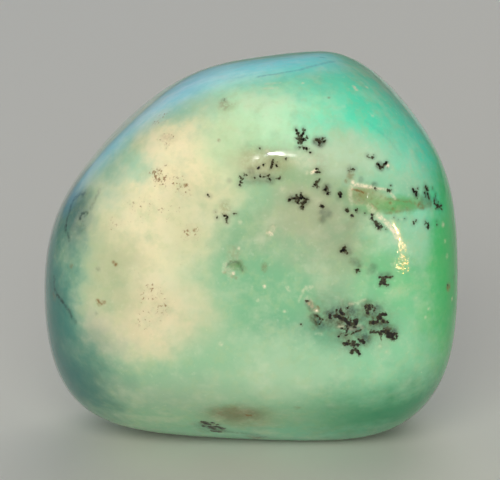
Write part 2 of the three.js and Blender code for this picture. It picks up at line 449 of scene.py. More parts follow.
# More of them grew on the sides that the photograph doesn't show: each tree's root, its size in pixels,
# the way it heads, and how many branches it has.
HIDDEN_TREES = [
    dict(turned=180, at=(318, 236), size=15, heading=110, branches=5),
    dict(turned=180, at=(336, 247), size=11, heading=20, branches=4),
    dict(turned=180, at=(306, 252), size=9, heading=215, branches=3),
    dict(turned=180, at=(330, 266), size=12, heading=-70, branches=4),
    dict(turned=180, at=(352, 262), size=7, heading=-20, branches=2),
    dict(turned=180, at=(150, 205), size=9, heading=70, branches=3),
    dict(turned=180, at=(166, 216), size=6, heading=-30, branches=2),
    dict(turned=180, at=(212, 350), size=8, heading=160, branches=3),
    dict(turned=180, at=(262, 372), size=5, heading=40, branches=1),
    dict(turned=90, at=(236, 186), size=9, heading=80, branches=3),
    dict(turned=90, at=(252, 198), size=6, heading=-10, branches=2),
    dict(turned=90, at=(288, 262), size=8, heading=120, branches=3),
    dict(turned=90, at=(226, 316), size=10, heading=-50, branches=4),
    dict(turned=-90, at=(262, 226), size=7, heading=60, branches=3),
    dict(turned=-90, at=(232, 296), size=5, heading=-80, branches=2),
]

# How they grow: degrees from one branch to the next and how far each strays from that, a branch's
# length and width as shares of the tree's size, its number of joints, and how far it bends at each.
BRANCH_ANGLE = 46
BRANCH_STRAY = 14
BRANCH_LENGTHS = (0.35, 0.6)
BRANCH_WIDTHS = (0.3, 0.42)
BRANCH_JOINTS = 2
JOINT_BEND = 24
TREE_SEED = 7


def grown_strokes(tree, chance):
    """The strokes of one tree: its branches fan out from the root, and each bends on its way."""
    spread = BRANCH_ANGLE * (tree["branches"] - 1)
    strokes = []
    for k in range(tree["branches"]):
        turn = (k / max(tree["branches"] - 1, 1) - 0.5) * spread
        way = math.radians(tree["heading"] + turn + chance.uniform(-BRANCH_STRAY, BRANCH_STRAY))
        length = tree["size"] * chance.uniform(*BRANCH_LENGTHS)
        right, down = tree["at"]
        places = [(right, down)]
        for _ in range(BRANCH_JOINTS):
            way += math.radians(chance.uniform(-JOINT_BEND, JOINT_BEND))
            right += math.cos(way) * length / BRANCH_JOINTS
            down -= math.sin(way) * length / BRANCH_JOINTS
            places.append((right, down))
        strokes.append((tree["size"] * chance.uniform(*BRANCH_WIDTHS), *places))
    return strokes


chance = random.Random(TREE_SEED)
for tree in HIDDEN_TREES:
    DENDRITES.append(dict(turned=tree["turned"], strokes=grown_strokes(tree, chance)))


# The deep dendrites: those further in are veiled by the milky stone, so they show soft and pale. A soft
# mark is its strength, how far it fades out, its width, and the places it runs through, in pixels.
DEEP_DENDRITES = [
    dict(name="upper trees", marks=[
        (0.7, 2.6, 4.4, (316.6, 141), (320.6, 143.4)), (0.6, 2.2, 2.4, (321, 139.6), (324.6, 140.8)),
        (0.42, 2.6, 2.6, (299, 133.5), (300.4, 138)), (0.45, 1.8, 3.0, (300, 143.2)),
        (0.25, 2.6, 2, (303, 148)),
    ]),
    dict(name="scoop chain", marks=[
        (0.40, 3.4, 3.0, (250.6, 171.4), (251.6, 176)),
        (0.36, 4.4, 4.4, (246, 178.4), (256, 178.6), (264, 178)),
        (0.50, 3.0, 4.0, (265.6, 177), (271, 179.6)), (0.25, 3.0, 2, (272, 162), (273.4, 166)),
    ]),
    dict(name="middle", marks=[
        (0.5, 3.4, 3.6, (292, 199), (304, 199.4)), (0.55, 2.4, 3.2, (303, 204), (307, 200)),
        (0.38, 3, 2.4, (301.6, 206)), (0.52, 2.4, 4.4, (326.4, 187.6), (325.6, 190)),
        (0.50, 2.8, 3.0, (323, 213), (328.4, 214.6)), (0.44, 2.8, 2.6, (325.4, 211), (323.6, 218)),
        (0.45, 2.6, 3.0, (322.4, 219.8)), (0.35, 2.6, 2.4, (347.4, 210.4)), (0.3, 2.6, 2, (357, 211)),
        (0.3, 2.6, 2.6, (350.4, 169.4)),
    ]),
    dict(name="by the groove", marks=[
        (0.66, 2.0, 4.8, (379.6, 165.4), (381, 167)), (0.42, 2.0, 2.4, (361, 179.6)),
        (0.50, 2.0, 3.0, (374.6, 185.2)), (0.62, 2.4, 3.6, (426.4, 188.4), (425.6, 193), (428.4, 197)),
        (0.5, 3, 4, (424, 200), (430, 202.6)), (0.55, 1.8, 3.4, (413.6, 190.6), (416.6, 195)),
        (0.3, 3.4, 5, (423, 203), (430, 204)), (0.6, 2.0, 3.6, (434.8, 200), (438, 206.4)),
        (0.32, 3, 2, (426, 223), (428, 227)), (0.34, 3, 2.4, (375, 222), (380, 227)),
    ]),
    dict(name="right of the pit", marks=[
        (0.42, 3.2, 3.4, (343.6, 250), (348, 252)), (0.46, 2.8, 2.6, (353, 261.4), (357.2, 263.4)),
        (0.45, 2.0, 2.4, (359, 265.2)), (0.38, 2.6, 3.8, (373, 267.6), (371.6, 271)),
        (0.5, 2.6, 2.6, (381, 275.6), (389, 276)), (0.34, 3.4, 3, (384, 283)),
    ]),
    dict(name="main clusters", marks=[
        (0.82, 8, 6, (332, 316), (345, 320), (354, 326)), (0.75, 7, 5, (352, 326), (360, 331), (364, 338)),
        (0.7, 8, 4, (344, 309), (352, 312), (359, 320)), (0.7, 6, 3, (367, 306), (368, 316), (372, 324)),
        (0.8, 6, 4, (376, 310), (375, 320), (384, 325), (391, 332)),
        (0.62, 7, 3, (341, 334), (347, 342), (354, 345)), (0.8, 3, 6, (315, 318), (320, 324)),
        (0.62, 7, 5, (319, 323), (330, 323)), (0.5, 2.6, 3, (308, 303), (312, 309)),
        (0.5, 12, 14, (338, 318), (352, 326), (372, 322)),
        (0.3, 15, 20, (330, 316), (350, 330), (374, 324)),
    ]),
    dict(name="foot", marks=[
        (0.6, 4, 6, (204, 424), (212, 428), (220, 430)), (0.3, 5, 4, (198, 424), (206, 431)),
    ]),
    dict(name="back", turned=180, marks=[
        (0.45, 6, 7, (316, 240), (330, 256)), (0.4, 5, 5, (338, 256), (350, 260)),
        (0.35, 6, 4, (152, 208), (164, 214)), (0.4, 5, 5, (246, 196)), (0.3, 7, 6, (226, 330), (212, 346)),
    ]),
    dict(name="right side", turned=90, marks=[
        (0.4, 5, 4, (238, 190), (250, 196)), (0.4, 6, 5, (288, 258)), (0.4, 5, 5, (228, 318)),
    ]),
]


# The cracks: hair cracks of the rough that the polish has closed but not hidden, with dark stain in them,
# and the blue-grey shade of the air behind them. Among them, the foot line is a painted shadow under the
# stone's lip, and the round pit's crescent is painted shade. The first top lines run dark along the front
# edge of the top facet.
CRACKS_AND_SHADE_LINES = [
    dict(name="left arc", marks=[
        (0.55, 2.0, 2.2, (85, 194), (79, 195), (75, 198)),
        (0.55, 1.8, 1.8, (75, 198), (71.4, 204), (69.4, 213)),
        (0.5, 1.3, 1.2, (69.4, 213), (67, 219), (66, 226)), (0.9, 1.4, 2.0, (65.8, 226), (65.4, 229.4)),
        (0.5, 1.4, 1.2, (65.4, 229.4), (68, 234), (69.4, 240)),
        (0.7, 1.3, 1.6, (87, 213.2), (82.6, 213.2), (80, 216), (80, 219)), (0.4, 1.2, 1.0, (84.4, 215.8)),
        (0.26, 2.2, 2.0, (82.6, 222), (82.6, 230)), (0.26, 1.8, 1.6, (99, 191), (96, 197), (91, 208)),
        (0.16, 8, 16, (82, 201), (76, 224)),
    ]),
    dict(name="left crack", marks=[
        (0.5, 1.4, 1.2, (54, 277), (54.4, 288)), (0.4, 1.0, 1.0, (55.2, 279.6)),
        (0.6, 1.4, 1.6, (54.4, 288), (57, 295)), (0.8, 1.3, 1.8, (57, 295), (60, 298.6), (63.4, 302.6)),
        (0.55, 1.5, 1.5, (63.4, 302.6), (69.6, 311.6), (72, 317), (75, 321.6)),
        (0.14, 6, 6, (51, 285), (62, 303)), (0.25, 1.8, 1.6, (97.8, 269.4)), (0.2, 1.6, 1.2, (96.6, 313.6)),
    ]),
    # A painted shadow: a dark line along the foot, where the stone's lip shades the underside.
    dict(name="foot shadow line", marks=[
        (0.3, 2.4, 1.6, (226, 431.6), (245, 433.4), (258, 435)), (0.4, 3, 3, (248, 436), (264, 437)),
    ]),
    # The first lines here run dark along the front edge of the top facet.
    dict(name="top", marks=[
        (0.3, 1.2, 0.6, (258, 76.6), (276, 74), (300, 70)),
        (0.24, 1.6, 1, (300, 70), (320, 64.4), (334, 61.4)), (0.3, 1.6, 1.4, (258.6, 76.8), (261, 76.4)),
        (0.4, 1.4, 1, (320.6, 57.2), (324.6, 57.8)),
        (0.08, 1.6, 0.8, (366, 121.4), (377.4, 129.6), (390.6, 141), (399, 154.4)),
    ]),
    # Painted shade: the dark crescent on the round pit's upper rim, where its upper-right wall lies in
    # shade.
    dict(name="round pit", marks=[
        (0.3, 1.1, 1.0, (227.2, 265), (230, 262.4), (234, 261.8), (238.4, 263.4), (241, 267), (242, 270.2)),
    ]),
    dict(name="back", turned=180, marks=[
        (0.6, 1.4, 1.2, (118, 262), (128, 278), (131, 298), (142, 316)),
        (0.4, 1.6, 0.9, (131, 298), (122, 309)), (0.45, 1.6, 1.0, (262, 98), (284, 104), (300, 116)),
        (0.14, 9, 8, (124, 278), (134, 304)), (0.45, 1.4, 0.9, (352, 322), (346, 338), (350, 352)),
    ]),
    dict(name="right side", turned=90, marks=[
        (0.5, 1.4, 1.0, (204, 242), (212, 256), (210, 272)),
        (0.4, 1.5, 0.9, (300, 198), (306, 214), (302, 230)),
    ]),
    dict(name="left side", turned=-90, marks=[
        (0.5, 1.4, 1.0, (296, 192), (288, 210), (292, 230), (284, 244)),
        (0.4, 1.5, 0.9, (226, 236), (232, 252)),
    ]),
]

# The pale marks: rims and scratches where the skin is bruised white, and sparkles of tiny crystals. Some
# are painted highlights: the glint line down the ridge, the glow, dash and tip beside the scoop's
# highlight, and the glint in the round pit, with painted light on its lower left. The groove's upper rims
# are bruised pale and carry a painted highlight too.
PALE_MARKS_AND_GLINTS = [
    dict(name="groove rims", marks=[
        # The groove's upper rim and the tick at its right end are pale where the rim is bruised. Their
        # brightness is also a painted highlight of the rim.
        (0.8, 1.1, 1.2, (352.4, 181.6), (355, 184.4), (362, 185.6), (371, 187)),
        (0.6, 1.0, 0.8, (371, 187), (378, 188.7), (386, 189.7)),
        (0.6, 0.9, 0.8, (390.6, 192.4), (392.4, 195), (395, 198.6)),
        (0.4, 1.6, 1.2, (352.6, 184.6), (350, 191), (350, 198)), (0.26, 1.8, 1.2, (350, 198), (352.6, 203)),
        # A painted highlight: the glint line along the ridge, growing brighter down to where the lamp's
        # glint begins.
        (0.36, 1.8, 2.6, (369, 206), (374, 211), (380, 217)),
        (0.8, 1.3, 1.8, (379, 216), (387, 223), (392, 228)),
        (1.0, 1.2, 1.7, (388, 224), (394, 231), (397, 237)),
        (0.14, 2.2, 1.4, (352, 202.4), (362, 203.4), (371, 206)),
    ]),
    dict(name="scoop", marks=[
        # Painted highlights round the scoop's crest: a soft glow right of the lamp's highlight, a bright
        # dash at the crest's right end, and a pale spot at the highlight's left tip.
        (0.2, 4, 5, (290, 157.6), (302, 160), (311, 162.6)),
        (0.8, 0.9, 1.2, (311.4, 172.8), (315.4, 170.6)), (0.3, 1.4, 1.6, (307, 172.6)),
        (0.3, 1.1, 2.0, (267.2, 151.8)), (0.2, 2.4, 2.4, (282.8, 189.6)),
    ]),
    dict(name="scratches", marks=[
        (0.36, 1.1, 0.7, (303, 291), (306.4, 286.8), (312, 287)),
        (0.26, 1.1, 0.7, (298.8, 301.4), (300.4, 297), (302.6, 292.6)),
        (0.3, 2.0, 1.8, (306.6, 288.4), (309.4, 289)),
        (0.26, 1.2, 0.7, (350, 303.8), (358, 303), (365, 299.4)),
        (0.36, 0.9, 0.8, (339, 326.8), (343.4, 326.2)), (0.2, 1.2, 1.0, (349.6, 328.6), (355.4, 329.2)),
        (0.2, 1.2, 1.0, (356, 326), (360, 325.2), (362.6, 328)),
        (0.2, 1.1, 0.7, (316, 333.8), (322, 334.2)), (0.3, 1.3, 0.8, (262, 88.6), (277, 88)),
        (0.2, 1.3, 0.8, (266, 84), (280, 82.6)),
    ]),
    dict(name="flecks", marks=[
        (0.6, 1.4, 1.8, (354.4, 87), (356, 89.4)), (0.5, 1.2, 1.8, (366.6, 87.2)),
        (0.6, 0.9, 1.0, (302.8, 83.1)), (0.35, 1.2, 1.4, (372.4, 115.5)), (0.8, 1.0, 1.3, (264.4, 286.4)),
        (0.45, 1.0, 1.0, (257.7, 300.2)), (0.45, 1.0, 1.0, (284.4, 311.4)), (0.3, 1.1, 1.0, (379.8, 346.5)),
        (0.24, 1.0, 0.8, (386.2, 352)), (0.4, 1.1, 1.1, (425.4, 317)), (0.45, 1.3, 1.5, (429, 308.6)),
        (0.55, 1.6, 1.8, (443, 224.6)), (0.5, 1.2, 1.4, (452, 299)), (0.4, 1.4, 1.3, (445, 241)),
        (0.3, 1.6, 1.6, (447, 256)), (0.8, 1.0, 1.5, (387.9, 165.6)), (0.4, 1.6, 1.4, (221, 344)),
        (0.5, 1.1, 1.0, (238.6, 248.4)), (0.28, 1.0, 1.6, (287, 287), (289, 290)),
        (0.3, 1.4, 1.6, (240, 222)),
    ]),
    dict(name="pits", marks=[
        (0.75, 1.1, 1.6, (268.2, 232.6), (271.4, 234.4)), (0.3, 2.0, 2.4, (272, 230), (273, 227)),
        # In the round pit, the bright spot is a painted glint, and the pale patch at its lower left is
        # painted light.
        (0.34, 1.6, 1.8, (225, 264.4), (224.2, 271)), (1.0, 0.7, 1.6, (233.5, 273.7)),
        (0.24, 2.2, 3.0, (228, 270), (231, 274)), (1.0, 0.7, 1.5, (317, 310.5)),
        (0.26, 1.6, 2.0, (310.4, 304), (313, 307), (316.6, 311)), (0.24, 2.4, 2, (307, 299), (310, 302)),
    ]),
    dict(name="back", turned=180, marks=[
        (0.38, 1.0, 0.8, (286, 148), (306, 142), (330, 132)), (0.36, 1.0, 0.8, (120, 180), (132, 188)),
        (0.4, 1.3, 1.6, (196, 250)), (0.5, 1.0, 1.1, (276, 312)), (0.4, 1.2, 1.4, (160, 340)),
        (0.5, 1.0, 1.1, (370, 200)), (0.26, 1.2, 0.8, (236, 300), (248, 308)),
    ]),
    dict(name="right side", turned=90, marks=[
        (0.4, 1.2, 1.3, (262, 150)), (0.4, 1.2, 1.3, (268, 300)), (0.3, 1.2, 0.8, (240, 240), (250, 250)),
    ]),
]

# The rust: brown iron stain in the softer spots.
RUST = [
    dict(name="single spots", marks=[
        (0.42, 2.0, 3.4, (350.8, 175), (350.2, 178)), (0.55, 1.4, 1.8, (346.8, 181)),
        (0.34, 3.2, 4.0, (223.4, 103), (224.6, 106)), (0.34, 1.8, 2.4, (264.6, 265.4), (264, 269.6)),
        (0.30, 2.2, 2.0, (297.7, 407.6)), (0.62, 2.4, 3.6, (448.4, 287.4)),
        (0.7, 1.2, 1.6, (97.8, 300.8), (99.4, 304.2), (104, 302)), (0.55, 1.1, 1.4, (113.6, 262.2)),
        (0.7, 1.1, 1.7, (115.8, 264.6)), (0.24, 2.2, 2.4, (164, 137), (173, 139)),
        (0.6, 1.2, 1.7, (185.2, 185.4)), (0.45, 1.0, 1.2, (329, 97.8)), (0.4, 1.2, 1.1, (219, 140.3)),
        (0.5, 1.0, 1.3, (194.3, 230.3)), (0.22, 4.0, 5.0, (234, 252), (233, 259)),
        (0.24, 3.4, 4.0, (225, 206), (226, 211)), (0.4, 1.6, 1.8, (71.4, 266)), (0.2, 3, 3, (54, 296)),
        (0.16, 8, 14, (254, 159), (276, 163)), (0.14, 6, 6, (318, 160), (320, 166)),
    ]),
    dict(name="crack pit", marks=[
        (0.42, 1.6, 2.0, (309.6, 302.6), (313.4, 306.4), (316.8, 309.6)),
        (0.5, 1.0, 1.0, (318, 306.6), (319.4, 311)),
    ]),
    dict(name="round pit", marks=[
        (0.3, 1.0, 1.0, (232, 276.2), (236.6, 278.4)), (0.4, 1.0, 1.2, (224.4, 272.6)),
        (0.22, 2.4, 2.4, (240, 262), (244, 270)),
    ]),
    dict(name="groove", marks=[
        (0.75, 0.8, 0.9, (352.6, 189.6), (357, 190.2), (363.4, 192.6)),
        (0.4, 1.0, 0.9, (359.4, 194.4), (361, 196)), (0.12, 3.0, 5.0, (357, 195), (366, 199)),
        (0.36, 0.9, 0.9, (366, 193.4)), (0.3, 0.9, 1.0, (371.4, 198.6)),
        (0.3, 0.9, 0.9, (363.6, 200), (366, 200.4)), (0.34, 0.8, 0.8, (358.4, 200)),
        (0.26, 0.9, 0.9, (377, 203.4)), (0.3, 0.9, 0.8, (373, 192.6)), (0.26, 0.9, 0.9, (381, 196.4)),
        (0.4, 0.8, 0.8, (359.6, 200.8)), (0.3, 0.9, 0.9, (356, 185.6), (372, 188.6)),
        (0.26, 1.4, 1.0, (355, 202), (366, 202.8)), (0.42, 1.0, 1.0, (371, 204.4), (377, 209.6)),
        (0.34, 1.0, 1.0, (385, 213), (391, 213)), (0.5, 0.9, 1.5, (390.2, 203)),
        (0.42, 0.9, 1.2, (392.6, 208.6)), (0.42, 0.9, 1.2, (407, 208.6)), (0.42, 0.9, 1.2, (409.8, 201)),
        (0.55, 1.8, 3.0, (419.6, 205.4), (421, 206)), (0.45, 1.0, 1.4, (423.4, 208.6)),
        (0.34, 1.0, 0.9, (386, 198.6), (396, 199.6)), (0.34, 1.0, 0.9, (398, 200.2), (416, 203.4)),
        (0.3, 1.0, 0.9, (396, 211.6), (412, 209.4)),
    ]),
    dict(name="foot", marks=[
        (0.24, 6, 12, (222, 412), (248, 415)), (0.12, 5, 10, (236, 422), (256, 423)),
        (0.45, 2.0, 2.4, (219, 413.4), (222, 413.2)), (0.7, 1.6, 2.2, (246, 415.2), (250, 415.4)),
        (0.4, 3, 2, (228, 409), (234, 408.4)), (0.6, 2.6, 3, (254, 438), (260, 438)),
        (0.4, 1.4, 1.4, (212, 424.6), (215, 424.8)),
    ]),
    dict(name="back", turned=180, marks=[
        (0.4, 3.0, 3.4, (250, 252)), (0.36, 2.4, 2.6, (172, 300)), (0.5, 1.4, 2.0, (290, 330)),
        (0.3, 5, 6, (308, 398), (330, 402)), (0.5, 1.2, 1.6, (368, 232)),
    ]),
]

# Where the cream stone is peppered with brown specks of iron clay.
SPECKLED = [
    dict(name="cream face", marks=[
        (0.95, 6, 9, (167, 140)), (1.0, 7, 12, (160, 174)), (0.8, 6, 8, (175, 179)),
        (0.7, 7, 8, (184, 188)), (0.42, 10, 14, (170, 205)), (0.42, 10, 16, (140, 209)),
        (0.5, 7, 8, (116, 224)), (0.7, 6, 10, (190, 232)), (0.85, 7, 12, (151, 294)),
        (0.75, 6, 10, (161, 308)), (0.5, 10, 14, (144, 320)), (0.5, 6, 6, (230, 103)),
        (0.12, 18, 60, (150, 220), (165, 300)), (0.3, 8, 10, (200, 250)), (0.7, 6, 10, (160, 119)),
    ]),
    dict(name="back", turned=180, marks=[
        (0.9, 9, 14, (176, 262)), (0.7, 9, 12, (210, 238)), (0.8, 8, 12, (192, 312)),
        (0.3, 20, 60, (190, 250), (200, 320)),
    ]),
    dict(name="sides", turned=90, marks=[(0.6, 10, 12, (300, 236)), (0.5, 10, 12, (262, 330))]),
]

# Where the polish is grainy, so a lamp's glint breaks up into sparks.
GRAINY = [
    dict(name="ridge", marks=[(0.3, 3, 4, (398, 240), (401, 246)), (1.0, 7, 9, (403, 252), (407, 266))]),
    dict(name="groove", marks=[(0.4, 2, 9, (356, 192), (370, 196), (380, 200))]),
    dict(name="pits", marks=[(0.5, 3, 6, (310, 302), (317, 311)), (0.4, 2, 8, (233, 269), (235, 269))]),
    dict(name="back", turned=180, marks=[(0.5, 8, 14, (196, 250), (214, 262)), (0.4, 6, 8, (300, 330))]),
]


# Each place is carried onto the skin along its line of sight, and a mark's width is measured there, so
# it keeps its shape seen from any side. The distance from a stroke is followed that many mm outside a
# sharp one, and that many times its fade outside a soft one.
STROKE_REACH = 1.0
SOFT_REACH = 2.6

skin_tree = BVHTree.FromPolygons(points_of(stone.data).tolist(), corners_of(stone.data).tolist())


def place_on_stone(at, turned=0):
    """The point of the skin, in mm, that shows at a place in the view."""
    across = (at[0] - PHOTO_WIDTH / 2) / focal_px
    up = (PHOTO_HEIGHT / 2 - at[1]) / focal_px
    way = sight_right * across + sight_up * up - back_to_camera
    way /= np.linalg.norm(way)
    start = Vector(turned_about_z(eye, turned))
    hit = skin_tree.ray_cast(start, Vector(turned_about_z(way, turned)))[0]
    if hit is None:
        raise ValueError(f"no stone shows at {at}, turned {turned}")
    return np.array(hit)


def inside_stroke(points, width, places, turned, reach):
    """How far points lie inside one stroke, in mm: above 0 inside it, and no lower than -reach."""
    inside = np.full(len(points), -reach)
    ends = [place_on_stone(at, turned) for at in places]
    for start, end in zip(ends, ends[1:] or ends):
        room = np.linalg.norm(end - start) / 2 + width / PX_PER_MM + reach
        near = np.abs(points - (start + end) / 2).max(axis=1) < room
        away = from_line(points[near], start, end)
        inside[near] = np.maximum(inside[near], width / 2 / PX_PER_MM - away)
    return inside


def inside_dendrites(points):
    """How far points lie inside the nearest lobe of a dendrite, in mm."""
    inside = np.full(len(points), -STROKE_REACH)
    for tree in DENDRITES:
        for width, *places in tree["strokes"]:
            in_this = inside_stroke(points, width, places, tree.get("turned", 0), STROKE_REACH)
            inside = np.maximum(inside, in_this - tree.get("sunk", 0))
    return inside


def strength_of(points, groups):
    """How strong soft marks are at each point, from 0 to 1."""
    strength = np.zeros(len(points))
    for group in groups:
        for peak, fade, width, *places in group["marks"]:
            fade_mm = fade / PX_PER_MM
            reach = SOFT_REACH * fade_mm
            outside = -inside_stroke(points, width, places, group.get("turned", 0), reach)
            faded = np.exp(-((np.maximum(outside, 0) / fade_mm) ** 2))
            strength = np.maximum(strength, peak * faded)
    return strength


# The skin gets finer facets round everything small, so that rims, lobes and cracks are smooth: the
# edges there are cut in three. A mark needs none if it takes more than SHARP_FADE pixels to fade out.
# Round a crease they reach further, because a lamp's glint would show where they end.
FINE_MARGIN = 0.16
CREASE_MARGIN = 2.1
SHARP_FADE = 1.9
FINE_CUTS = 2


def near_marks(points, normals):
    """True for the points that lie near a rim, a dendrite or another sharp mark."""
    near = inside_dendrites(points) > -FINE_MARGIN
    for hollow in HOLLOWS:
        turned = hollow.get("turned", 0)
        inside = inside_outline(seen_at(points, turned), hollow["outline"]) / PX_PER_MM
        slope = (inside > -FINE_MARGIN) & (inside < hollow["slope"])
        near |= slope & is_shown(points, normals, turned)
    for groups in (CRACKS_AND_SHADE_LINES, PALE_MARKS_AND_GLINTS, RUST):
        for group in groups:
            for _, fade, width, *places in group["marks"]:
                if fade < SHARP_FADE:
                    turned = group.get("turned", 0)
                    inside = inside_stroke(points, width, places, turned, STROKE_REACH)
                    near |= inside > -FINE_MARGIN
    for ridge in RIDGES:
        crease = [place_on_stone(at) for at in ridge["path"]]
        for start, end in zip(crease, crease[1:]):
            near |= from_line(points, start, end) < CREASE_MARGIN
    return near


def refine(piece, chosen_points, cuts):
    """Cuts the facets that touch the chosen points, and puts the new points on the worn skin."""
    bpy.ops.object.select_all(action="DESELECT")
    piece.select_set(True)
    bpy.context.view_layer.objects.active = piece
    mesh = piece.data
    chosen_faces = chosen_points[corners_of(mesh)].any(axis=1)
    bpy.ops.object.mode_set(mode="EDIT")
    bpy.ops.mesh.select_mode(type="FACE")
    bpy.ops.mesh.select_all(action="DESELECT")
    bpy.ops.object.mode_set(mode="OBJECT")
    mesh.polygons.foreach_set("select", chosen_faces)
    bpy.ops.object.mode_set(mode="EDIT")
    bpy.ops.mesh.subdivide(number_cuts=cuts)
    bpy.ops.mesh.select_all(action="SELECT")
    bpy.ops.mesh.quads_convert_to_tris()
    bpy.ops.object.mode_set(mode="OBJECT")
    move_points(mesh, on_worn_skin(points_of(mesh)))


refine(stone, near_marks(points_of(stone.data), normals_of(stone.data)), FINE_CUTS)

points = points_of(stone.data)
normals = normals_of(stone.data)
depth = sum(ridge_depth(points, normals, ridge) for ridge in RIDGES)
depth = depth + sum(hollow_depth(points, normals, hollow) for hollow in HOLLOWS)
move_points(stone.data, points - normals * depth[:, None])
bpy.ops.object.shade_smooth()


# The marks are kept on the skin's points, as they lay before the hollows were pressed.
def keep_on_points(mesh, name, values):
    attribute = mesh.attributes.new(name, "FLOAT", "POINT")
    attribute.data.foreach_set("value", values.astype(np.float32))


keep_on_points(stone.data, "dendrite", inside_dendrites(points))
keep_on_points(stone.data, "deep_dendrite", strength_of(points, DEEP_DENDRITES))
# The "crack" marks hold painted shade lines too, and the "pale" marks hold painted highlights.
keep_on_points(stone.data, "crack", strength_of(points, CRACKS_AND_SHADE_LINES))
keep_on_points(stone.data, "pale", strength_of(points, PALE_MARKS_AND_GLINTS))
keep_on_points(stone.data, "rust", strength_of(points, RUST))
keep_on_points(stone.data, "speckled", strength_of(points, SPECKLED))
keep_on_points(stone.data, "grainy", strength_of(points, GRAINY))


# The polished chrysoprase: chalcedony coloured by nickel, tumbled to a wet gloss. It is milky and a little
# see-through, so its colour comes from clouds inside: cream where it is dense, mint and turquoise where it
# is clear. Some of these colours also hold painted shade, painted light and painted reflections.
def linear(hex_colour):
    """An sRGB hex colour as linear red, green, blue and alpha."""
    channels = [int(hex_colour[k:k + 2], 16) / 255 for k in (1, 3, 5)]
    bent = [c / 12.92 if c <= 0.04045 else ((c + 0.055) / 1.055) ** 2.4 for c in channels]
    return (*bent, 1.0)


MINT = "#98c8a2"

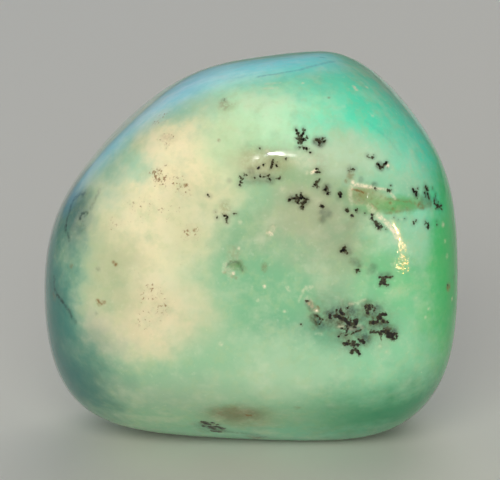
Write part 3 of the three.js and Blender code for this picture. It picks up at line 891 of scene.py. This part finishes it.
# Clouds, one over another: where the middle of each shows, its half-size along X, Y and Z, the share
# of that by which its soft edge reaches in and out, how much of the colour below it covers, and its
# colour. A cloud that "stays" belongs to a hollow or a stain, so it drifts little.
CLOUDS = [
    dict(name="green right", at=(425, 265), size=(3.8, 9, 8.5),
         edge=0.7, strength=0.9, colour="#6ece90"),
    dict(name="green low right", at=(395, 375), size=(5.5, 8, 4.0),
         edge=0.8, strength=0.8, colour="#98d8b2"),
    dict(name="turquoise shoulder", at=(414, 148), size=(4.0, 8, 4.4),
         edge=0.6, strength=0.95, colour="#52eccc"),
    dict(name="turquoise patch", at=(352, 104), size=(4.2, 8, 2.2),
         edge=0.45, strength=0.92, colour="#62ecc8"),
    dict(name="pale under it", at=(340, 160), size=(3.4, 6, 1.6),
         edge=0.7, strength=0.85, colour="#c4dcc0"),
    dict(name="pale green top", at=(258, 106), size=(3.8, 7, 2.2),
         edge=0.6, strength=0.9, colour="#d0f8d4"),
    dict(name="cream left", at=(132, 245), size=(3.7, 8, 4.9),
         edge=0.75, strength=0.95, colour="#f4eac6"),
    dict(name="cream upper", at=(180, 164), size=(3.2, 8, 2.9),
         edge=0.7, strength=0.97, colour="#fcf0cc"),
    dict(name="cream low", at=(150, 318), size=(3.0, 8, 2.2),
         edge=0.8, strength=0.9, colour="#e8dcba"),
    dict(name="cream right", at=(194, 216), size=(1.9, 7, 3.2),
         edge=0.8, strength=0.75, colour="#dedcb6"),
    dict(name="cream neck", at=(226, 146), size=(1.7, 6, 1.6),
         edge=0.8, strength=0.7, colour="#c2e2b8"),
    dict(name="green cream", at=(110, 272), size=(1.9, 5, 2.6),
         edge=0.9, strength=0.75, colour="#a8b892"),
    dict(name="green under bevel", at=(134, 160), size=(1.5, 5, 0.8),
         edge=0.9, strength=0.6, colour="#90d4bc"),
    dict(name="sea green left side", at=(52, 300), size=(2.0, 9, 8.5),
         edge=0.9, strength=0.6, colour="#74b4a4"),
    dict(name="pink low left", at=(100, 335), size=(1.2, 5, 1.4),
         edge=0.9, strength=0.5, colour="#d0c6b4"),
    dict(name="grey bloom", at=(330, 228), size=(3.2, 6, 2.8),
         edge=0.8, strength=0.8, colour="#a6ae90"),
    dict(name="grey bloom left", at=(290, 206), size=(2.0, 5, 1.6),
         edge=0.8, strength=0.75, colour="#b2ba9a"),
    dict(name="tan scoop", stays=True, at=(264, 164), size=(1.9, 5, 0.8),
         edge=0.7, strength=0.6, colour="#c0bc90"),
    dict(name="green scoop", stays=True, at=(296, 177), size=(1.5, 5, 0.5),
         edge=0.8, strength=0.6, colour="#98ba8e"),
    dict(name="pale by the groove", at=(406, 182), size=(2.1, 5, 1.1),
         edge=0.8, strength=0.75, colour="#aacfae"),
    # Painted light: the lighter mint on the facet right of the ridge, which faces the light.
    dict(name="pale shoulder", at=(412, 232), size=(1.5, 5, 2.0),
         edge=0.8, strength=0.65, colour="#b2dcc2"),
    dict(name="green centre", at=(252, 243), size=(1.6, 5, 1.8),
         edge=0.9, strength=0.65, colour="#8ab088"),
    dict(name="green middle", at=(270, 292), size=(2.8, 6, 2.6),
         edge=0.8, strength=0.8, colour="#76bc90"),
    dict(name="green line", at=(302, 333), size=(2.4, 4, 0.9),
         edge=0.9, strength=0.7, colour="#68b08c"),
    dict(name="pale low", at=(276, 374), size=(3.6, 6, 2.0),
         edge=0.8, strength=0.75, colour="#b4d6b6"),
    dict(name="grey green foot", at=(150, 392), size=(4.2, 6, 1.7),
         edge=0.8, strength=0.75, colour="#a8c6aa"),
    dict(name="green groove", stays=True, at=(396, 205), size=(2.3, 2, 0.5),
         edge=0.6, strength=0.85, colour="#66b068"),
    dict(name="olive groove", stays=True, at=(364, 195), size=(1.15, 2, 0.5),
         edge=0.9, strength=0.85, colour="#949e68"),
    dict(name="its end", stays=True, at=(380, 201), size=(0.9, 2, 0.32),
         edge=0.9, strength=0.45, colour="#84a860"),
    dict(name="its lower lip", stays=True, at=(392, 210), size=(1.6, 2, 0.22),
         edge=0.9, strength=0.4, colour="#7a9a5c"),
    # Painted shade: the darker green over the round pit's upper-right wall, which lies in shade.
    dict(name="round pit", stays=True, at=(237, 267), size=(0.34, 1, 0.34),
         edge=0.5, strength=0.7, colour="#6a9c60"),
    dict(name="foot haze", stays=True, at=(243, 420), size=(2.3, 3, 1.5),
         edge=0.6, strength=0.6, colour="#9aa582"),
    dict(name="foot stain", stays=True, at=(236, 413), size=(1.8, 3, 0.75),
         edge=0.8, strength=0.75, colour="#74805a"),
    dict(name="blue grey arc", stays=True, at=(73, 207), size=(1.2, 4, 2.0),
         edge=0.9, strength=0.8, colour="#5c7e82"),
    dict(name="green foot", at=(320, 438), size=(9, 6, 1.4),
         edge=0.8, strength=0.7, colour="#7cccae"),
    # Painted reflection: teal along the upper-left bevel, where the blue sheen lies.
    dict(name="teal bevel left", at=(103, 163), size=(1.5, 5, 1.9),
         edge=0.9, strength=0.55, colour="#7cc0b8"),
    dict(name="teal bevel", at=(178, 100), size=(2.4, 5, 0.9),
         edge=0.9, strength=0.5, colour="#88ccc0"),
    dict(name="turquoise top", at=(300, 58), size=(5.5, 8, 1.6),
         edge=0.7, strength=0.8, colour="#70e0c6"),
    dict(name="back cream", at=(190, 282), turned=180, size=(4.6, 6, 5.6),
         edge=0.7, strength=0.9, colour="#e4dcb8"),
    dict(name="back cream top", at=(232, 176), turned=180, size=(3.2, 6, 2.2),
         edge=0.8, strength=0.8, colour="#dde2bc"),
    dict(name="back turquoise", at=(330, 150), turned=180, size=(4.6, 6, 3.6),
         edge=0.6, strength=0.85, colour="#76d4ba"),
    dict(name="back grey", at=(318, 262), turned=180, size=(3.6, 5, 3.0),
         edge=0.8, strength=0.7, colour="#a9b69c"),
    dict(name="back green", at=(290, 360), turned=180, size=(5.0, 6, 2.4),
         edge=0.8, strength=0.7, colour="#7cbf96"),
]

# Painted shade at the rims, where the stone turns away from the light. The left and lower-left rims are
# dark teal, which also stands for a painted blue reflection. The right rim and the foot on the right are
# dark green, which also stands for a painted glow of light through the rim.
PAINTED_RIM_SHADE = [
    dict(name="teal left rim", at=(46, 290), size=(1.75, 6.5, 8.0),
         edge=0.85, strength=0.85, colour="#287472"),
    dict(name="teal lower left", at=(72, 378), size=(2.7, 6.5, 4.2),
         edge=0.95, strength=0.86, colour="#226c6c"),
    dict(name="green right rim", at=(457, 255), size=(1.7, 9, 10),
         edge=0.7, strength=0.8, colour="#2ac468"),
    dict(name="green foot right", at=(400, 412), size=(5.2, 8, 2.4),
         edge=0.8, strength=0.88, colour="#0c8e60"),
]

# Noises that the patterns are made of: how many folds each has to a millimetre, and how many times it
# goes on with finer ones.
NOISES = {
    "curds": (0.55, 5), "seams": (0.62, 5), "fine curds": (2.6, 5), "mottle": (1.5, 5),
    "crowding": (1.7, 3), "specks": (5.8, 3), "flecks": (4.0, 2), "patches": (3.0, 3),
    "breaks": (5.2, 3), "tint": (1.4, 3), "lobes": (9.0, 3), "ink": (3.2, 2), "peel": (0.55, 2),
    "fine peel": (7.5, 3), "grit": (5.0, 1), "polish": (1.6, 4),
}

# Milky curds and greener seams of a millimetre or two that run softly through all of it: the bounds of
# the noise between which each comes up, its strength and its colour.
VEINS = [
    dict(noise="curds", shows=(0.42, 0.80), strength=0.34, colour="#e9e8ce"),
    dict(noise="seams", shows=(0.46, 0.84), strength=0.32, colour="#74b18c"),
    dict(noise="mottle", shows=(0.48, 0.66), strength=0.20, colour="#b9cc9a"),
    dict(noise="fine curds", shows=(0.56, 0.80), strength=0.20, colour="#efeeda"),
]


def add_node(nodes, kind, output=None, inputs=(), **settings):
    """Adds one shader node with its settings and links, and gives back the named output.

    An input is a value, or the output of another node.
    """
    made = nodes.new(kind)
    for name, value in settings.items():
        setattr(made, name, value)
    for socket, value in dict(inputs).items():
        if isinstance(value, bpy.types.NodeSocket):
            nodes.id_data.links.new(value, made.inputs[socket])
        else:
            made.inputs[socket].default_value = value
    return None if output is None else made.outputs[output]


# A mix node has its colour sockets under these numbers, because its other kinds share their names.
MIX_FACTOR, MIX_A, MIX_B, MIX_RESULT = 0, 6, 7, 2

NOISE_ROUGHNESS = 0.6

# How far the clouds' edges drift, in broad folds and in wisps: folds to a millimetre, and the range in
# mm over which they move a cloud that drifts and one that stays.
SWIRLS = [
    dict(name="folds", per_mm=0.28, drifts=4.4, stays=0.6),
    dict(name="wisps", per_mm=1.3, drifts=1.3, stays=0.8),
]

# Soft steps through a noise: the values of the noise where each starts and ends, and what it gives there.
SOFT_STEPS = {
    "gathered": dict(noise="crowding", shows=(0.34, 0.56), gives=(0.0, 1.0)),
    "browner": dict(noise="tint", shows=(0.42, 0.6), gives=(0.0, 1.0)),
    "broken": dict(noise="breaks", shows=(0.34, 0.6), gives=(0.35, 1.2)),
    "ink": dict(noise="ink", shows=(0.36, 0.58), gives=(0.4, 1.0)),
    "roughness": dict(noise="polish", shows=(0.3, 0.7), gives=(0.045, 0.11)),
}

# The brown specks: the bound of their noise above which they show, how much lower it lies in a full
# crowd, how soft their edges are, how soon a crowd is full, and how strong its haze is.
SPECK_BOUND = 0.68
SPECK_CROWDING = 0.22
SPECK_EDGE = 0.16
CROWD_GAIN = 3.0
CROWD_HAZE = 0.14

# The pale flecks: how many could start along a millimetre, and as shares of the way from one start to
# the next, how much a noise moves their edge, the reach of the smallest, what the largest has more, and
# where they are at their palest.
FLECKS_PER_MM = 0.8
FLECK_UNEVEN = 0.16
FLECK_REACH = 0.08
FLECK_MORE = 0.06
FLECK_CORE = 0.06

# The dendrites' lobes: how many there are along a millimetre, and in mm how far the lobes and a noise
# move the outline, and how far the whole outline lies inside the strokes.
LOBES_PER_MM = 5.2
LOBE_RELIEF = 0.18
LOBE_NOISE = 0.22
LOBE_INSET = 0.047

# The polish: how high the orange peel stands, in mm, how high the fine peel and the grit stand beside
# it, and how much rougher the grainy places are.
PEEL_HEIGHT = 0.012
FINE_PEEL = 0.10
GRIT = 2.0
GRAIN_ROUGHNESS = 0.01

# The stone: its refractive index, how much of its light comes from inside, how deep in mm the light
# goes there, and the shares of that in red, green and blue.
REFRACTIVE_INDEX = 1.54
CLEARNESS = 0.45
LIGHT_DEPTH = 0.7
LIGHT_DEPTH_SHARES = (1.0, 1.4, 1.1)


def polished_chrysoprase():
    material = bpy.data.materials.new("polished chalcedony, tumbled")
    material.use_nodes = True
    nodes = material.node_tree.nodes
    nodes.clear()
    where = add_node(nodes, "ShaderNodeTexCoord", "Object")
    in_mm = add_node(
        nodes, "ShaderNodeVectorMath", "Vector", {0: where, "Scale": 1 / MM}, operation="SCALE"
    )
    marks = {
        name: add_node(nodes, "ShaderNodeAttribute", "Fac", attribute_name=name)
        for name in ("dendrite", "deep_dendrite", "crack", "pale", "rust", "speckled", "grainy")
    }
    noise = {
        name: add_node(
            nodes, "ShaderNodeTexNoise", "Fac",
            {"Vector": in_mm, "Scale": per_mm, "Detail": detail, "Roughness": NOISE_ROUGHNESS},
        )
        for name, (per_mm, detail) in NOISES.items()
    }
    step = {
        name: add_node(
            nodes, "ShaderNodeMapRange", "Result",
            {
                "Value": noise[row["noise"]], "From Min": row["shows"][0], "From Max": row["shows"][1],
                "To Min": row["gives"][0], "To Max": row["gives"][1],
            },
            interpolation_type="SMOOTHSTEP",
        )
        for name, row in SOFT_STEPS.items()
    }

    # The places that the clouds are measured from, moved by the swirls.
    spots = {"drifts": in_mm, "stays": in_mm}
    for row in SWIRLS:
        swirl = add_node(
            nodes, "ShaderNodeTexNoise", "Color",
            {"Vector": in_mm, "Scale": row["per_mm"], "Detail": 4, "Roughness": NOISE_ROUGHNESS},
        )
        swirl = add_node(
            nodes, "ShaderNodeVectorMath", "Vector", {0: swirl, 1: (0.5, 0.5, 0.5)}, operation="SUBTRACT"
        )
        for manner, spot in spots.items():
            shift = {0: swirl, "Scale": row[manner]}
            shift = add_node(nodes, "ShaderNodeVectorMath", "Vector", shift, operation="SCALE")
            spots[manner] = add_node(
                nodes, "ShaderNodeVectorMath", "Vector", {0: spot, 1: shift}, operation="ADD"
            )

    # What lies over the mint, from the lowest layer to the highest: how much it covers, and its colour.
    layers = []
    for zone in CLOUDS + VEINS + PAINTED_RIM_SHADE:
        if "noise" in zone:
            value = noise[zone["noise"]]
            low, high = zone["shows"]
        else:
            place = tuple(place_on_stone(zone["at"], zone.get("turned", 0)))
            spot = spots["stays" if "stays" in zone else "drifts"]
            offset = {0: spot, 1: place}
            offset = add_node(nodes, "ShaderNodeVectorMath", "Vector", offset, operation="SUBTRACT")
            share = {0: offset, 1: zone["size"]}
            share = add_node(nodes, "ShaderNodeVectorMath", "Vector", share, operation="DIVIDE")
            value = add_node(nodes, "ShaderNodeVectorMath", "Value", {0: share}, operation="LENGTH")
            low = 1 + zone["edge"]
            high = 1 - zone["edge"]
        covers = add_node(
            nodes, "ShaderNodeMapRange", "Result",
            {"Value": value, "From Min": low, "From Max": high, "To Max": zone["strength"]},
            interpolation_type="SMOOTHSTEP",
        )
        layers.append((covers, linear(zone["colour"])))

    # Specks of iron clay, a tenth of a millimetre across, in crowds where the stone is peppered, and
    # the faint brown haze of a crowd.
    crowds = {0: marks["speckled"], 1: step["gathered"]}
    crowds = add_node(nodes, "ShaderNodeMath", 0, crowds, operation="MULTIPLY")
    lowest = {0: crowds, 1: -SPECK_CROWDING, 2: SPECK_BOUND}
    lowest = add_node(nodes, "ShaderNodeMath", 0, lowest, operation="MULTIPLY_ADD")
    highest = add_node(nodes, "ShaderNodeMath", 0, {0: lowest, 1: SPECK_EDGE}, operation="ADD")
    specks = add_node(
        nodes, "ShaderNodeMapRange", "Result",
        {"Value": noise["specks"], "From Min": lowest, "From Max": highest, "To Max": 0.9},
        interpolation_type="SMOOTHSTEP",
    )
    crowded = {0: crowds, 1: CROWD_GAIN}
    crowded = add_node(nodes, "ShaderNodeMath", 0, crowded, operation="MULTIPLY", use_clamp=True)
    specks = add_node(nodes, "ShaderNodeMath", 0, {0: specks, 1: crowded}, operation="MULTIPLY")
    haze = add_node(nodes, "ShaderNodeMath", 0, {0: crowds, 1: CROWD_HAZE}, operation="MULTIPLY")
    layers += [(haze, linear("#b99b78")), (specks, linear("#947650"))]

    # Pale flecks, a tenth or two of a millimetre across, here and there all over, uneven in size,
    # outline and strength.
    seeds = {"Vector": in_mm, "Scale": FLECKS_PER_MM}
    away = add_node(nodes, "ShaderNodeTexVoronoi", "Distance", seeds)
    sown = add_node(nodes, "ShaderNodeTexVoronoi", "Color", seeds)
    bright = add_node(nodes, "ShaderNodeSeparateColor", 0, {"Color": sown})
    big = add_node(nodes, "ShaderNodeSeparateColor", 1, {"Color": sown})
    uneven = {0: noise["flecks"], 1: FLECK_UNEVEN, 2: away}
    uneven = add_node(nodes, "ShaderNodeMath", 0, uneven, operation="MULTIPLY_ADD")
    reach = {0: big, 1: FLECK_MORE, 2: FLECK_REACH}
    reach = add_node(nodes, "ShaderNodeMath", 0, reach, operation="MULTIPLY_ADD")
    fleck = add_node(
        nodes, "ShaderNodeMapRange", "Result",
        {"Value": uneven, "From Min": reach, "From Max": FLECK_CORE, "To Max": 0.45},
        interpolation_type="SMOOTHSTEP",
    )
    chosen = {"Value": bright, "From Min": 0.4, "From Max": 0.9, "To Max": 0.8}
    chosen = add_node(nodes, "ShaderNodeMapRange", "Result", chosen)
    fleck = add_node(nodes, "ShaderNodeMath", 0, {0: fleck, 1: chosen}, operation="MULTIPLY")
    layers.append((fleck, linear("#eef0da")))

    # The deep dendrites are patchy, blue-grey in places and brown in others, and each dendrite at the
    # skin stands in a thin dark veil of its own.
    patchy = {"Value": noise["patches"], "From Min": 0.34, "From Max": 0.62, "To Min": 0.62, "To Max": 1.15}
    patchy = add_node(nodes, "ShaderNodeMapRange", "Result", patchy)
    deep = {0: marks["deep_dendrite"], 1: patchy}
    deep = add_node(nodes, "ShaderNodeMath", 0, deep, operation="MULTIPLY")
    veil = add_node(
        nodes, "ShaderNodeMapRange", "Result",
        {"Value": marks["dendrite"], "From Min": -0.26, "From Max": 0.02, "To Max": 0.22},
        interpolation_type="SMOOTHSTEP",
    )
    deep = add_node(nodes, "ShaderNodeMath", 0, {0: deep, 1: veil}, operation="MAXIMUM")
    smoky = {MIX_FACTOR: step["browner"], MIX_A: linear("#3a4a48"), MIX_B: linear("#48442e")}
    smoky = add_node(nodes, "ShaderNodeMix", MIX_RESULT, smoky, data_type="RGBA")
    layers.append((deep, smoky))

    # Rust, the cracks and painted shade lines, and the pale marks and painted highlights are uneven along
    # their length.
    for name, stain in (("rust", "#86602f"), ("crack", "#2b4846"), ("pale", "#f4ead0")):
        covers = {0: marks[name], 1: step["broken"]}
        covers = add_node(nodes, "ShaderNodeMath", 0, covers, operation="MULTIPLY")
        layers.append((covers, linear(stain)))

    # A dendrite's outline breaks into lobes of 0.1 to 0.2 mm. Each lobe is black in the middle and
    # brown where it thins out, and some of it is brown all through.
    lobes = {"Vector": in_mm, "Scale": LOBES_PER_MM}
    lobes = add_node(nodes, "ShaderNodeTexVoronoi", "Distance", lobes)
    lobes = {0: lobes, 1: -LOBE_RELIEF, 2: marks["dendrite"]}
    lobes = add_node(nodes, "ShaderNodeMath", 0, lobes, operation="MULTIPLY_ADD")
    lobes = {0: noise["lobes"], 1: LOBE_NOISE, 2: lobes}
    lobes = add_node(nodes, "ShaderNodeMath", 0, lobes, operation="MULTIPLY_ADD")
    lobes = add_node(nodes, "ShaderNodeMath", 0, {0: lobes, 1: LOBE_INSET}, operation="SUBTRACT")
    brown = add_node(
        nodes, "ShaderNodeMapRange", "Result",
        {"Value": lobes, "From Min": -0.07, "From Max": 0.02, "To Max": 0.9},
        interpolation_type="SMOOTHSTEP",
    )
    black = add_node(
        nodes, "ShaderNodeMapRange", "Result", {"Value": lobes, "From Min": -0.015, "From Max": 0.05},
        interpolation_type="SMOOTHSTEP",
    )
    inked = add_node(nodes, "ShaderNodeMath", 0, {0: black, 1: step["ink"]}, operation="MULTIPLY")
    layers += [(brown, linear("#443c22")), (inked, linear("#050402"))]

    colour = linear(MINT)
    for covers, tint in layers:
        layer = {MIX_FACTOR: covers, MIX_A: colour, MIX_B: tint}
        colour = add_node(nodes, "ShaderNodeMix", MIX_RESULT, layer, data_type="RGBA")

    # The polish: nearly flat, with the faint orange peel that tumbling leaves, and grainy in places.
    height = {0: noise["fine peel"], 1: FINE_PEEL, 2: noise["peel"]}
    height = add_node(nodes, "ShaderNodeMath", 0, height, operation="MULTIPLY_ADD")
    grit = {0: noise["grit"], 1: marks["grainy"]}
    grit = add_node(nodes, "ShaderNodeMath", 0, grit, operation="MULTIPLY")
    height = add_node(nodes, "ShaderNodeMath", 0, {0: grit, 1: GRIT, 2: height}, operation="MULTIPLY_ADD")
    relief = {"Height": height, "Strength": 1.0, "Distance": PEEL_HEIGHT * MM}
    relief = add_node(nodes, "ShaderNodeBump", "Normal", relief)
    roughness = {0: marks["grainy"], 1: GRAIN_ROUGHNESS, 2: step["roughness"]}
    roughness = add_node(nodes, "ShaderNodeMath", 0, roughness, operation="MULTIPLY_ADD")
    clearness = {"Value": black, "To Min": CLEARNESS, "To Max": 0.0}
    clearness = add_node(nodes, "ShaderNodeMapRange", "Result", clearness)
    polish = add_node(
        nodes, "ShaderNodeBsdfPrincipled", "BSDF",
        {
            "Base Color": colour, "Roughness": roughness, "IOR": REFRACTIVE_INDEX, "Normal": relief,
            "Subsurface Weight": clearness, "Subsurface Radius": LIGHT_DEPTH_SHARES,
            "Subsurface Scale": LIGHT_DEPTH * MM,
        },
    )
    add_node(nodes, "ShaderNodeOutputMaterial", inputs={"Surface": polish})
    return material


stone.data.materials.append(polished_chrysoprase())
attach(stone, "root")
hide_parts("stone")


# The studio: a pale card floor under a pale surround, and lamps round the stone. Two warm ones stand low
# on the right and near, tilted along the ridge that they glint on, and a small white one beyond the
# camera. A pale-blue panel stands behind on the left. All four only show as reflections, and the two
# soft fills, one by the camera and one behind, show in none.
FLOOR_SIDE = 3.0

bpy.ops.object.select_all(action="DESELECT")
bpy.ops.mesh.primitive_plane_add(size=FLOOR_SIDE, location=(0, 0, 0))
floor = bpy.context.object
floor.name = "studio_floor"
floor_material = bpy.data.materials.new("matt white card")
floor_material.use_nodes = True
floor_shader = floor_material.node_tree.nodes["Principled BSDF"]
floor_shader.inputs["Base Color"].default_value = linear("#dcdbd7")
floor_shader.inputs["Roughness"].default_value = 0.8
floor.data.materials.append(floor_material)

# Each lamp's direction from the stone, in degrees, with azimuth 0 on the camera's side, its distance and
# its width and height in metres, how far it is rolled about its own axis, and its power and colour.
LAMPS = [
    dict(name="strip_lamp", azimuth=33, elevation=1.5, distance=0.31, size=(0.034, 0.007), roll=-11,
         power=0.036, colour="#ffe8c4", in_matt=False),
    dict(name="gold_reflector", azimuth=36.3, elevation=0.9, distance=0.31, size=(0.076, 0.0085), roll=-11,
         power=0.12, colour="#ff983e", in_matt=False),
    dict(name="white_lamp", azimuth=0.65, elevation=14.0, distance=1.2, size=(0.085, 0.034), roll=-72,
         power=0.39, colour="#ffffff", in_matt=False),
    dict(name="cool_panel", azimuth=-160, elevation=30, distance=0.9, size=(1.3, 1.1),
         power=1.0, colour="#68bcf8", in_matt=False, soft_edge=True),
    dict(name="soft_fill", azimuth=-6, elevation=22, distance=1.0, size=(0.8, 0.8),
         power=8.8, colour="#fffbf0", in_gloss=False),
    dict(name="back_fill", azimuth=165, elevation=40, distance=1.0, size=(0.8, 0.8),
         power=2.8, colour="#fffbf4", in_gloss=False),
]


def add_lamp(name, azimuth, elevation, distance, size, power, colour, roll=0,
             in_gloss=True, in_matt=True, soft_edge=False):
    """An oval lamp that faces the stone. With a soft edge, its glow fades out to its rim."""
    around = math.radians(azimuth)
    up = math.radians(elevation)
    way = np.array([math.sin(around) * math.cos(up), -math.cos(around) * math.cos(up), math.sin(up)])
    bpy.ops.object.light_add(type="AREA", location=MIDDLE * MM + way * distance)
    light = bpy.context.object
    light.name = name
    light.rotation_mode = "QUATERNION"
    rolled = Quaternion((0, 0, 1), math.radians(roll))
    light.rotation_quaternion = Vector(way).to_track_quat("Z", "Y") @ rolled
    light.data.shape = "ELLIPSE"
    light.data.size, light.data.size_y = size
    light.data.energy = power
    light.data.color = linear(colour)[:3]
    if soft_edge:
        light.data.spread = 2 * math.atan(max(size) / 2 / distance)
    light.visible_camera = False
    light.visible_glossy = in_gloss
    light.visible_diffuse = in_matt


for lamp in LAMPS:
    add_lamp(**lamp)

world = bpy.data.worlds.new("pale surround")
bpy.context.scene.world = world
world.use_nodes = True
surround = world.node_tree.nodes["Background"]
surround.inputs["Color"].default_value = linear("#e6e6e4")
surround.inputs["Strength"].default_value = 0.22
bpy.context.scene.view_settings.view_transform = "Standard"
